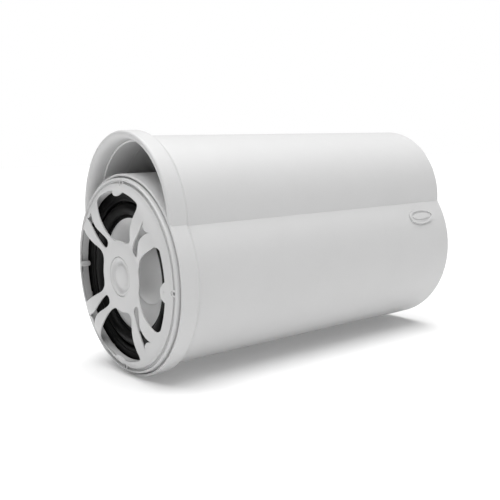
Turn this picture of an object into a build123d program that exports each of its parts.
from build123d import *
import math
import os

# Ported two-lobe subwoofer tube with a 10 inch driver. Millimetres.
#
# The parts are drawn about the driver's axis: Y runs from the front rim (y = 0) to the rear,
# Z runs up from the driver's axis, and X is to the right of someone facing the grille. They
# are then moved together so that the tube stands on z = 0 with its middle over the origin.

# --- enclosure -------------------------------------------------------------------------------
LENGTH = 590.0          # front rim to rear edge
R_LOW = 145.0           # lower lobe, around the driver
R_UP = 121.0            # upper lobe, around the port
LOBE_GAP = 88.0         # height of the upper lobe's axis above the driver's axis
WALL = 6.0
COLLAR_STEP = 8.5       # how far the front collar stands proud of the tube
COLLAR_END = 25.0       # where the collar starts to fall to the tube
COLLAR_FOOT = 38.0      # where it has reached the tube
REAR_ROUND = 3.0
SEAT_R = 149.5          # pocket that holds the grille and the baffle
SEAT_Y = 24.5
LEDGE_WIDTH = 8.0       # ledge inside the rear edge that the rear cap is screwed to
LEDGE_Y = (565.0, 573.0)
BADGE_Y = 524.0         # oval badge on the right side
BADGE_ANGLE = 23.0
BADGE_SIZE = (62.0, 28.0)

# --- port ------------------------------------------------------------------------------------
FLARE_Y = 22.0          # end of the port's bell mouth
FLARE_R = 115.0
DUCT_WALL = 2.5
THROAT_END = 62.0
DUCT_END = 330.0

# --- grille ----------------------------------------------------------------------------------
GRILLE_R = 148.6
GRILLE_CROWN = 18.0     # how far the domed spokes stand in front of the rim
GRILLE_TURN = -3.3      # the grille is clocked slightly from the upright
GRILLE_SCREW_R = 141.0  # circle that the grille's screws are on
CREST_R = 102.0         # where the spokes stand out furthest
WINDOW_R = (54.5, 129.0)
WINDOW_HALF_ANGLE = 29.6
TAB_R = 19.5            # tab around each screw, cut out of the window
TAB_POST = (124.2, 4.3)
HUB_R = 54.0
HUB_BADGE_R = 30.0

# --- driver ----------------------------------------------------------------------------------
FLANGE_R = 137.0
FLANGE_Y = (4.0, 9.0)
BAFFLE_Y = (11.0, 24.2)
BAFFLE_HOLE_R = 119.5
DRIVER_SCREW_R = 133.5  # circle that the driver's screws are on
CONE_R = 91.5
CONE_EDGE_Y = 13.2
NECK_R = 25.5
NECK_Y = 55.4
CAP_R = 48.0
COIL_R = 25.0
TOP_PLATE_Y = (88.0, 98.0)
MAGNET_Y = (98.0, 128.0)
BACK_PLATE_Y = (128.0, 138.0)
MAGNET_R = 72.0
SPIDER_Y = 61.0
LEAD_X = 18.0
LANDING_Y = 14.0        # where the surround's outer lip is glued to the frame
ARM_COUNT = 6
ARM_WIDTH = 16.0        # degrees of the frame that one arm takes

# --- rear ------------------------------------------------------------------------------------
REAR_CAP_Y = (574.5, 586.5)
CUP_Z = -20.0
CUP_R = 40.6
CUP_FLANGE_R = 50.0
CUP_FLOOR_Y = (560.0, 563.0)
BLOCK_Y = (563.0, 577.0)
TERMINAL_X = 12.0
BUTTON_Z = CUP_Z + 6.0
ENTRY_Z = CUP_Z - 6.0

STAND = Pos(0, -(LENGTH - GRILLE_CROWN) / 2, R_LOW + COLLAR_STEP)


class Profile:
    """An outline in the (radius, y) half plane, grown one piece at a time."""

    def __init__(self, r, y):
        self.start = (r, y)
        self.here = (r, y)
        self.edges = []

    def line(self, *points):
        for point in points:
            self.edges.append(Line(self.here, point))
            self.here = point
        return self

    def arc(self, middle, end):
        self.edges.append(ThreePointArc(self.here, middle, end))
        self.here = end
        return self

    def curve(self, *controls):
        self.edges.append(Bezier(self.here, *controls))
        self.here = controls[-1]
        return self

    def lathe(self):
        """Close the outline and turn it around the driver's axis."""
        if self.here != self.start:
            self.line(self.start)
        return revolve(make_face(Curve() + self.edges), axis=Axis.Y)


def ring(inner, outer, front, rear):
    """A plain ring around the driver's axis."""
    return Profile(inner, front).line((outer, front), (outer, rear), (inner, rear)).lathe()


def slab(shape, front, rear):
    """A flat shape, drawn facing the grille, made solid between two depths."""
    face = Plane((0, rear, 0), x_dir=(1, 0, 0), z_dir=(0, -1, 0)) * shape
    return extrude(face, amount=rear - front)


def rod(x, z, radius, front, rear):
    """A cylinder along Y."""
    return slab(Pos(x, z) * Circle(radius), front, rear)


def lobes(grow):
    """The two-lobe outline, grown or shrunk evenly."""
    return Circle(R_LOW + grow) + Pos(0, LOBE_GAP) * Circle(R_UP + grow)


def around(count, radius, first=0.0):
    """Centres spread evenly on a circle about the driver's axis."""
    turns = [math.radians(first + 360.0 * k / count) for k in range(count)]
    return [(radius * math.cos(a), radius * math.sin(a)) for a in turns]


def gather(solids):
    """Separate solids kept apart in one node."""
    return Compound(children=list(solids))


def cable(points, radius, bend):
    """A round wire along straight runs joined by arcs."""
    path = FilletPolyline(*points, radius=bend)
    return sweep(Plane(path @ 0, z_dir=path % 0) * Circle(radius), path=path)


def screw(x, z, head_r, head_y, shank_r, end_y, drive_r=1.6):
    """A round-headed screw along Y. head_y is the head's outer and inner face."""
    outer, inner = head_y
    low, high = min(outer, inner), max(outer, inner)
    body = rod(x, z, head_r, low, high) + rod(x, z, shank_r, min(inner, end_y), max(inner, end_y))
    depth = 0.6 * (inner - outer)
    socket = RegularPolygon(drive_r, 6)
    cut = slab(Pos(x, z) * socket, min(outer, outer + depth), max(outer, outer + depth))
    return body - cut


# --- enclosure -------------------------------------------------------------------------------

def lobe_outside(radius, crest):
    """One lobe of the tube, solid, with its collar. crest is the radius of the rim's front edge."""
    collar = radius + COLLAR_STEP
    nose = collar - crest
    bend = nose * (1 - math.sqrt(0.5))
    fall = (COLLAR_FOOT - COLLAR_END) * 0.55
    return (
        Profile(0, 0)
        .line((crest, 0))
        .arc((collar - bend, bend), (collar, nose))
        .line((collar, COLLAR_END))
        .curve((collar, COLLAR_END + fall), (radius, COLLAR_FOOT - fall), (radius, COLLAR_FOOT))
        .line((radius, LENGTH - REAR_ROUND))
        .arc((radius - 0.293 * REAR_ROUND, LENGTH - 0.293 * REAR_ROUND), (radius - REAR_ROUND, LENGTH))
        .line((0, LENGTH))
        .lathe()
    )


def driver_cavity():
    """The room inside the lower lobe."""
    inside = R_LOW - WALL
    lip = inside - LEDGE_WIDTH
    return (
        Profile(0, -1)
        .line((151.5, -1), (151.5, 0))
        .arc((150.086, 0.586), (SEAT_R, 2))
        .line((SEAT_R, SEAT_Y), (143, SEAT_Y), (143, 31), (inside, 35), (inside, LEDGE_Y[0] - 6))
        .line((lip, LEDGE_Y[0]), (lip, LEDGE_Y[1]), (inside, LEDGE_Y[1]), (inside, LENGTH + 1))
        .line((0, LENGTH + 1))
        .lathe()
    )


def port_cavity():
    """The bell mouth and the room inside the upper lobe, above the driver's pod."""
    lip = FLARE_R - LEDGE_WIDTH
    room = (
        Profile(0, -1)
        .line((125, -1), (125, 0))
        .curve((119, 0), (FLARE_R, 8), (FLARE_R, FLARE_Y))
        .line((FLARE_R, LEDGE_Y[0] - 6), (lip, LEDGE_Y[0]), (lip, LEDGE_Y[1]))
        .line((FLARE_R, LEDGE_Y[1]), (FLARE_R, LENGTH + 1), (0, LENGTH + 1))
        .lathe()
    )
    pod_r = R_LOW + COLLAR_STEP
    pod = (
        Profile(0, 0)
        .line((pod_r - 2, 0))
        .arc((pod_r - 0.586, 0.586), (pod_r, 2))
        .line((pod_r, THROAT_END), (0, THROAT_END))
        .lathe()
    )
    return Pos(0, 0, LOBE_GAP) * room - pod


def rear_screw_places():
    """Centres of the rear cap's screws, on the ledge."""
    low_r = R_LOW - WALL - LEDGE_WIDTH / 2
    up_r = FLARE_R - LEDGE_WIDTH / 2
    low = [(low_r, a) for a in (-155, -115, -65, -25)]
    places = [(r * math.cos(math.radians(a)), r * math.sin(math.radians(a))) for r, a in low]
    for a in (25, 90, 155):
        x = up_r * math.cos(math.radians(a))
        places.append((x, LOBE_GAP + up_r * math.sin(math.radians(a))))
    return places


def badge_prism(grow):
    """An oval bar that pokes out of the tube's right side where the badge sits."""
    outline = Ellipse(BADGE_SIZE[0] / 2 + grow, BADGE_SIZE[1] / 2 + grow)
    bar = extrude(Plane((120, 0, 0), x_dir=(0, 1, 0), z_dir=(1, 0, 0)) * outline, amount=40)
    return Pos(0, BADGE_Y, 0) * Rot(0, -BADGE_ANGLE, 0) * bar


def tube_skin(inner, outer):
    return ring(inner, outer, BADGE_Y - 45, BADGE_Y + 45)


def enclosure_shell():
    body = lobe_outside(R_LOW, R_LOW + COLLAR_STEP - 2) + Pos(0, 0, LOBE_GAP) * lobe_outside(R_UP, 125)
    body = body - driver_cavity() - port_cavity()
    body -= tube_skin(R_LOW - 0.6, R_LOW + 5) & badge_prism(0.3)
    for x, z in rear_screw_places():
        body -= rod(x, z, 1.85, LEDGE_Y[0] - 7, LEDGE_Y[1] + 1)
    return body


def side_badge():
    """Plain oval badge with a raised rim and a small raised centre."""
    seat, plate, rim = R_LOW - 0.55, R_LOW + 0.9, R_LOW + 2.6
    badge = tube_skin(seat, rim) & badge_prism(0)
    badge -= tube_skin(plate, rim + 3) & badge_prism(-4.0)
    return badge + (tube_skin(seat, rim - 0.6) & badge_prism(-8.5))


def port_throat():
    """Arched liner behind the bell mouth."""
    r = FLARE_R - 0.3
    inner = r - DUCT_WALL
    arch = (
        Profile(inner, FLARE_Y + 1.6)
        .arc((inner + 0.35, FLARE_Y + 0.75), (inner + 1.2, FLARE_Y + 0.4))
        .line((r, FLARE_Y + 0.4), (r, THROAT_END - 0.3), (inner, THROAT_END - 0.3))
        .lathe()
    )
    arch = Pos(0, 0, LOBE_GAP) * arch
    return arch - rod(0, 0, R_LOW + COLLAR_STEP + 0.4, 0, THROAT_END + 1)


def port_duct():
    """Crescent duct between the tube's upper wall and the driver's room."""
    outside = Pos(0, LOBE_GAP) * Circle(FLARE_R - 0.3) - Circle(R_LOW + 4.9)
    inside = Pos(0, LOBE_GAP) * Circle(FLARE_R - 0.3 - DUCT_WALL) - Circle(R_LOW + COLLAR_STEP)
    return slab(outside - inside, THROAT_END + 0.2, DUCT_END)


# --- grille ----------------------------------------------------------------------------------

def dome(profile, inset):
    """The arched face of the spokes, from the hub to the outer ring, moved back by inset."""
    crest = inset - GRILLE_CROWN
    profile.curve((68, inset - 8.0), (78, crest), (CREST_R, crest))
    return profile.curve((118, crest), (126, inset - 15.6), (132, inset - 10.0))


def grille_disc():
    """The whole grille before its openings are cut."""
    badge = HUB_BADGE_R + 0.3
    skirt = WINDOW_R[1] - 1
    face = Profile(0, -6.8).line((badge, -6.8), (badge, -9.2))
    face.arc((badge + 1.2, -10.5), (badge + 3.7, -10.8))
    face.curve((44, -11.0), (50, -10.2), (HUB_R, -9.6))
    dome(face, 0)
    face.curve((134.4, -7.7), (137, -6.2), (139.6, -5.6))
    face.line((140.6, -3.4), (143.6, -3.4)).arc((146.3, -5.4), (GRILLE_R, -3.0))
    face.line((GRILLE_R, 10.8), (143.8, 10.8), (143.8, -0.6), (137, -2.4), (133, -5.2))
    face.line((132.2, 1.2), (skirt, 1.2), (skirt, -9.2))
    crest = 3.6 - GRILLE_CROWN
    face.curve((124, -12.0), (116, crest), (CREST_R, crest))
    face.curve((80, crest), (68, -5.0), (HUB_R, -5.6))
    return face.line((48, -5.4), (44, -4.4), (0, -4.4)).lathe()


def window_shape():
    """One large opening, pointing along +X: a sector with a notch for the screw's tab."""
    inner, outer = WINDOW_R
    reach = 150.0
    half = reach * math.tan(math.radians(WINDOW_HALF_ANGLE))
    sector = make_face(Polyline((0, 0), (reach, half), (reach, -half), close=True))
    sector = sector & Circle(outer)
    sector = sector - Circle(inner)
    corners = sector.vertices().sort_by(Axis.X)
    sector = fillet(corners[:2], 23)
    corners = sector.vertices().group_by(Axis.X)[-1]
    sector = fillet(corners, 9)
    return sector - Pos(GRILLE_SCREW_R, 0) * Circle(TAB_R)


def slot_shape():
    """One narrow opening that splits a spoke: round by the hub, waisted, with a fishtail."""
    top = Spline((57, 0), (65.5, 8.6), (98, 4.4), (122, 10.5), tangents=[(0, 1), (0.9, 0.4)])
    tail = ThreePointArc((122, 10.5), (117, 0), (122, -10.5))
    low = Spline((122, -10.5), (98, -4.4), (65.5, -8.6), (57, 0), tangents=[(-0.9, 0.4), (0, 1)])
    return make_face(Curve() + [top, tail, low])


def grille():
    disc = grille_disc()
    window = window_shape()
    slot = slot_shape()
    for k in range(4):
        disc -= slab(Rot(0, 0, GRILLE_TURN + 90 * k) * window, -30, 20)
        disc -= slab(Rot(0, 0, GRILLE_TURN + 90 * k + 45) * slot, -30, 20)
    behind_face = dome(Profile(HUB_R, 1.2).line((HUB_R, 1.5 - 9.6)), 1.5).line((132, 1.2)).lathe()
    post_at, post_r = TAB_POST
    for x, z in around(4, post_at, GRILLE_TURN):
        disc += rod(x, z, post_r, -GRILLE_CROWN, 1.2) & behind_face
    for x, z in around(4, GRILLE_SCREW_R, GRILLE_TURN):
        disc += rod(x, z, 3.6, -3.6, 10.8) & ring(137.4, 146.2, -4, 11)
        disc -= rod(x, z, 3.7, -20, -1.6)
        disc -= rod(x, z, 1.9, -20, 20)
    return disc


def hub_badge():
    """Plain domed disc with one ring groove, pressed into the hub."""
    return (
        Profile(0, -6.9)
        .line((HUB_BADGE_R, -6.9), (HUB_BADGE_R, -8.6))
        .curve((HUB_BADGE_R - 2, -9.8), (26, -10.1), (24, -10.3))
        .line((23.2, -9.4), (21.8, -9.4), (21, -10.6))
        .curve((14, -11.2), (6, -11.4), (0, -11.4))
        .lathe()
    )


def grille_screws():
    places = around(4, GRILLE_SCREW_R, GRILLE_TURN)
    return gather(screw(x, z, 3.3, (-3.9, -1.7), 1.7, 18.0) for x, z in places)


def grille_inserts():
    places = around(4, GRILLE_SCREW_R, GRILLE_TURN)
    return gather(rod(x, z, 2.9, BAFFLE_Y[0] + 0.2, 19) - rod(x, z, 1.75, 0, 30) for x, z in places)


# --- baffle and driver frame -----------------------------------------------------------------

def driver_screw_places():
    return around(8, DRIVER_SCREW_R, 22.5 + GRILLE_TURN)


def baffle():
    body = ring(BAFFLE_HOLE_R, SEAT_R - 0.3, *BAFFLE_Y)
    for x, z in driver_screw_places():
        body -= rod(x, z, 3.35, BAFFLE_Y[0] - 1, 22.2)
    for x, z in around(4, GRILLE_SCREW_R, GRILLE_TURN):
        body -= rod(x, z, 2.95, BAFFLE_Y[0] - 1, 19.2)
    return body


def driver_gasket():
    body = ring(121, FLANGE_R - 1, FLANGE_Y[1], BAFFLE_Y[0])
    for x, z in driver_screw_places():
        body -= rod(x, z, 2.9, 0, 20)
    return body


def driver_screws():
    return gather(screw(x, z, 3.6, (1.6, 3.95), 2.3, 21.0, 1.8) for x, z in driver_screw_places())


def driver_inserts():
    places = driver_screw_places()
    return gather(rod(x, z, 3.3, BAFFLE_Y[0] + 0.2, 22) - rod(x, z, 2.4, 0, 30) for x, z in places)


def basket():
    """Cast frame: flange, landing for the surround, six arms, spider ledge and motor ring."""
    front, rear = FLANGE_Y
    landing = LANDING_Y
    ledge = SPIDER_Y + 1.0
    plate = TOP_PLATE_Y[0] - 0.1
    frame = Profile(119.0, front)
    frame.line((FLANGE_R, front), (FLANGE_R, rear), (119.4, rear), (119.4, 18), (113, 30))
    frame.line((80, 70), (78, 76), (78, plate), (40, plate), (40, plate - 4), (70, plate - 4))
    frame.line((72, ledge + 4), (60.5, ledge + 3), (60.5, ledge), (76.5, ledge), (107.5, 28))
    frame.line((110.5, 18), (110.5, landing), (118.4, landing), (118.4, front + 0.6))
    body = frame.lathe()
    for k in range(ARM_COUNT):
        start = k * 360 / ARM_COUNT + ARM_WIDTH / 2 - 90
        gap = 360 / ARM_COUNT - ARM_WIDTH
        rays = [math.radians(start + gap * i / 4) for i in range(5)]
        fan = [(0, 0)] + [(140 * math.cos(a), 140 * math.sin(a)) for a in rays]
        opening = make_face(Polyline(*fan, close=True)) - Circle(74)
        body -= slab(opening, 24, 60)
    for x, z in driver_screw_places():
        body -= rod(x, z, 2.7, 0, 12)
    strip_post = Pos(0, 50, -98.4) * Box(11, 11, 11)
    return body + strip_post


def trim_gasket():
    """Rubber ring that clamps the surround's outer lip."""
    return (
        Profile(112.6, 12.4)
        .line((112.6, 7.0))
        .arc((113.4, 5.4), (115, 4.9))
        .line((118.2, 4.9), (118.2, 12.4))
        .lathe()
    )


# --- moving assembly -------------------------------------------------------------------------

def cone():
    slope = (NECK_Y - CONE_EDGE_Y) / (88.5 - NECK_R)
    tube = NECK_R + 1.2
    body = Profile(CONE_R, CONE_EDGE_Y)
    body.line((88.5, CONE_EDGE_Y), (NECK_R, NECK_Y), (NECK_R, NECK_Y + 3), (tube, NECK_Y + 3))
    body.line((tube, NECK_Y + 1.6 - 1.2 * slope), (88.2, CONE_EDGE_Y + 1.8), (CONE_R, CONE_EDGE_Y + 1.2))
    return body.lathe()


def dust_cap():
    """Domed cap with a flat gluing rim."""
    slope = (NECK_Y - CONE_EDGE_Y) / (88.5 - NECK_R)
    seat = CONE_EDGE_Y + (88.5 - CAP_R) * slope
    return (
        Profile(0, 23.4)
        .curve((22, 23.4), (38, 29.5), (CAP_R - 2, seat - 0.6))
        .line((CAP_R, seat - 0.5), (CAP_R + 1.6, seat - 1.6), (CAP_R - 1.2, seat - 2.6))
        .curve((38, 27.2), (22, 22), (0, 22))
        .lathe()
    )


def voice_coil_former():
    return ring(COIL_R, COIL_R + 0.35, NECK_Y - 2.0, 110)


def voice_coil():
    return ring(COIL_R + 0.4, COIL_R + 2.4, 80, 106)


def surround():
    """Half-roll rubber edge between the cone and the frame."""
    return (
        Profile(86.8, 13.0)
        .line((86.8, 11.8), (91.3, 11.8))
        .arc((101, 2.9), (110.7, 12.5))
        .line((118.2, 12.5), (118.2, 13.8), (109.5, 13.8))
        .arc((101, 4.3), (92.5, 13.0))
        .lathe()
    )


def spider():
    """Corrugated disc that centres the voice coil."""
    count = 25
    inner, outer = 28.5, 58.5
    front = []
    for k in range(count):
        r = inner + (outer - inner) * k / (count - 1)
        wave = 1.9 * math.sin(2 * math.pi * 3.5 * k / (count - 1))
        front.append((r, SPIDER_Y - 0.4 + wave))
    back = [(r, y + 0.8) for r, y in reversed(front)]
    rim = [(61, SPIDER_Y), (75, SPIDER_Y), (75, SPIDER_Y + 0.8), (61, SPIDER_Y + 0.8)]
    neck = [(COIL_R + 0.6, SPIDER_Y + 0.4), (COIL_R + 0.6, SPIDER_Y - 0.4)]
    outline = Curve() + [
        Spline(*front),
        Polyline(front[-1], *rim, back[0]),
        Spline(*back),
        Polyline(back[-1], *neck, front[0]),
    ]
    return revolve(make_face(outline), axis=Axis.Y)


def tinsel_leads():
    """Two flexible braids from the cone to the tag strip."""
    leads = []
    for x in (-LEAD_X, LEAD_X):
        points = [(x, 47.8, -40), (x, 55, -52), (x, 55, -70), (x, 50, -86), (x, 50, -103.5)]
        leads.append(cable(points, 0.8, 5))
    return gather(leads)


# --- motor -----------------------------------------------------------------------------------

def top_plate():
    return ring(COIL_R + 3.2, 62, *TOP_PLATE_Y)


def magnet():
    return ring(36, MAGNET_R, *MAGNET_Y)


def pole_plate():
    """Back plate and vented pole in one turning."""
    rear = BACK_PLATE_Y[1]
    return (
        Profile(10, 86)
        .line((COIL_R - 1.1, 86), (COIL_R - 0.6, 86.5), (COIL_R - 0.6, BACK_PLATE_Y[0]))
        .line((66, BACK_PLATE_Y[0]), (70, BACK_PLATE_Y[0] + 3), (70, rear - 1), (69, rear))
        .line((13, rear), (10, rear - 4))
        .lathe()
    )


def magnet_boot():
    """Rubber cover around the magnet."""
    rear = BACK_PLATE_Y[1]
    return (
        Profile(MAGNET_R + 0.3, 100)
        .line((MAGNET_R + 3, 100), (MAGNET_R + 3, rear + 2))
        .arc((MAGNET_R + 2.1, rear + 3.1), (MAGNET_R + 1, rear + 3.6))
        .line((32, rear + 3.6), (32, rear + 0.3), (MAGNET_R + 0.3, rear + 0.3))
        .lathe()
    )


# --- wiring ----------------------------------------------------------------------------------

def tag_strip():
    """Insulating strip with two solder tags, on a post of the frame."""
    strip = Pos(0, 50, -105.1) * Box(52, 12, 2)
    tags = [Pos(x, 52, -107.1) * Box(6, 16, 1.8) for x in (-LEAD_X, LEAD_X)]
    return strip + tags[0] + tags[1]


def inner_wire(side):
    """Insulated wire from a terminal contact to its tag, lying along the bottom of the tube."""
    points = [
        (side * LEAD_X, 60.5, -107.1),
        (side * LEAD_X, 100, -121),
        (side * LEAD_X, 470, -121),
        (side * TERMINAL_X, 530, ENTRY_Z),
        (side * TERMINAL_X, 551.5, ENTRY_Z),
    ]
    return cable(points, 1.9, 14)


# --- rear ------------------------------------------------------------------------------------

def rear_cap():
    front, rear = REAR_CAP_Y
    body = slab(lobes(-WALL - 0.3), front, rear)
    body -= rod(0, CUP_Z, CUP_R + 0.4, front - 1, rear + 1)
    for x, z in rear_screw_places():
        body -= rod(x, z, 2.1, front - 1, rear + 1)
    for x, z in cup_screw_places():
        body -= rod(x, z, 1.55, rear - 9, rear + 1)
    return body


def rear_seal():
    body = slab(lobes(-WALL - 0.6) - lobes(-WALL - LEDGE_WIDTH), LEDGE_Y[1], REAR_CAP_Y[0])
    for x, z in rear_screw_places():
        body -= rod(x, z, 2.1, LEDGE_Y[1] - 1, REAR_CAP_Y[0] + 1)
    return body


def rear_cap_screws():
    rear = REAR_CAP_Y[1]
    places = rear_screw_places()
    return gather(screw(x, z, 3.2, (rear + 2.4, rear + 0.05), 1.8, 566.5) for x, z in places)


def damping_pad():
    """Soft felt pad on the inside of the rear cap."""
    outline = lobes(-WALL - 26) - Pos(0, CUP_Z) * Circle(CUP_R + 8)
    return slab(outline, 562, REAR_CAP_Y[0] - 0.2)


def cup_screw_places():
    return [(x, CUP_Z + z) for x, z in around(4, 45.6, 45)]


def terminal_cup():
    rear = REAR_CAP_Y[1] + 0.6
    cup = (
        Profile(0, CUP_FLOOR_Y[0])
        .line((CUP_R, CUP_FLOOR_Y[0]), (CUP_R, rear), (CUP_FLANGE_R, rear), (CUP_FLANGE_R, rear + 1.2))
        .line((CUP_FLANGE_R - 1.1, rear + 2.3), (CUP_R - 2, rear + 2.3), (CUP_R - 3, rear + 1.3))
        .line((CUP_R - 3, CUP_FLOOR_Y[1]), (0, CUP_FLOOR_Y[1]))
        .lathe()
    )
    cup = Pos(0, 0, CUP_Z) * cup
    for x in (-TERMINAL_X, TERMINAL_X):
        cup -= rod(x, ENTRY_Z, 1.6, 550, 570)
    for x, z in cup_screw_places():
        cup -= rod(x, z, 1.7, rear - 1, rear + 5)
        cup -= rod(x, z, 2.75, rear + 0.9, rear + 5)
    return cup


def cup_seal():
    rear = REAR_CAP_Y[1]
    body = ring(CUP_R + 0.5, CUP_FLANGE_R - 0.4, rear, rear + 0.6)
    body = Pos(0, 0, CUP_Z) * body
    for x, z in cup_screw_places():
        body -= rod(x, z, 1.7, rear - 1, rear + 2)
    return body


def cup_screws():
    seat = REAR_CAP_Y[1] + 1.55
    places = cup_screw_places()
    return gather(screw(x, z, 2.6, (seat + 1.3, seat), 1.5, 578.5, 1.1) for x, z in places)


def terminal_block():
    """Push-terminal housing with a button bore and a wire entry for each pole."""
    front, rear = BLOCK_Y
    block = slab(Pos(0, CUP_Z) * RectangleRounded(50, 28, 4), front, rear)
    for x in (-TERMINAL_X, TERMINAL_X):
        block -= rod(x, BUTTON_Z, 5.6, 565, 574)
        block -= rod(x, BUTTON_Z, 4.5, 573, rear + 1)
        block -= rod(x, ENTRY_Z, 2.3, 567, rear + 1)
        block -= rod(x, ENTRY_Z, 1.6, front - 1, 568)
    return block


def terminal_contacts():
    return gather(rod(x, ENTRY_Z, 1.5, 552, 566.9) for x in (-TERMINAL_X, TERMINAL_X))


def terminal_button(side):
    """Round push button with a collar that keeps it in the housing."""
    x = side * TERMINAL_X
    stem = rod(x, BUTTON_Z, 4.2, 573, 583.4)
    head = rod(x, BUTTON_Z, 3.6, 583.4, 584.2)
    collar = rod(x, BUTTON_Z, 5.2, 571.4, 573.7)
    return stem + head + collar


def terminal_spring(side):
    """Coil spring behind a terminal button."""
    coil = Helix(pitch=1.55, height=4.8, radius=3.0)
    wire = sweep(Plane(coil @ 0, z_dir=coil % 0) * Circle(0.4), path=coil, is_frenet=True)
    return Pos(side * TERMINAL_X, 565.8, BUTTON_Z) * Rot(-90, 0, 0) * wire


NODES = {
    "enclosure_shell": enclosure_shell,
    "side_badge": side_badge,
    "port_throat": port_throat,
    "port_duct": port_duct,
    "baffle": baffle,
    "grille": grille,
    "hub_badge": hub_badge,
    "grille_screws": grille_screws,
    "grille_inserts": grille_inserts,
    "driver_gasket": driver_gasket,
    "driver_screws": driver_screws,
    "driver_inserts": driver_inserts,
    "basket": basket,
    "trim_gasket": trim_gasket,
    "surround": surround,
    "cone": cone,
    "dust_cap": dust_cap,
    "voice_coil_former": voice_coil_former,
    "voice_coil": voice_coil,
    "spider": spider,
    "tinsel_leads": tinsel_leads,
    "tag_strip": tag_strip,
    "top_plate": top_plate,
    "magnet": magnet,
    "pole_plate": pole_plate,
    "magnet_boot": magnet_boot,
    "inner_wire_red": lambda: inner_wire(1),
    "inner_wire_black": lambda: inner_wire(-1),
    "rear_cap": rear_cap,
    "rear_seal": rear_seal,
    "rear_cap_screws": rear_cap_screws,
    "damping_pad": damping_pad,
    "terminal_cup": terminal_cup,
    "cup_seal": cup_seal,
    "cup_screws": cup_screws,
    "terminal_block": terminal_block,
    "terminal_contacts": terminal_contacts,
    "terminal_button_red": lambda: terminal_button(1),
    "terminal_button_black": lambda: terminal_button(-1),
    "terminal_spring_red": lambda: terminal_spring(1),
    "terminal_spring_black": lambda: terminal_spring(-1),
}

os.makedirs("parts", exist_ok=True)
for name, make in NODES.items():
    export_step(STAND * make(), f"parts/{name}.step")
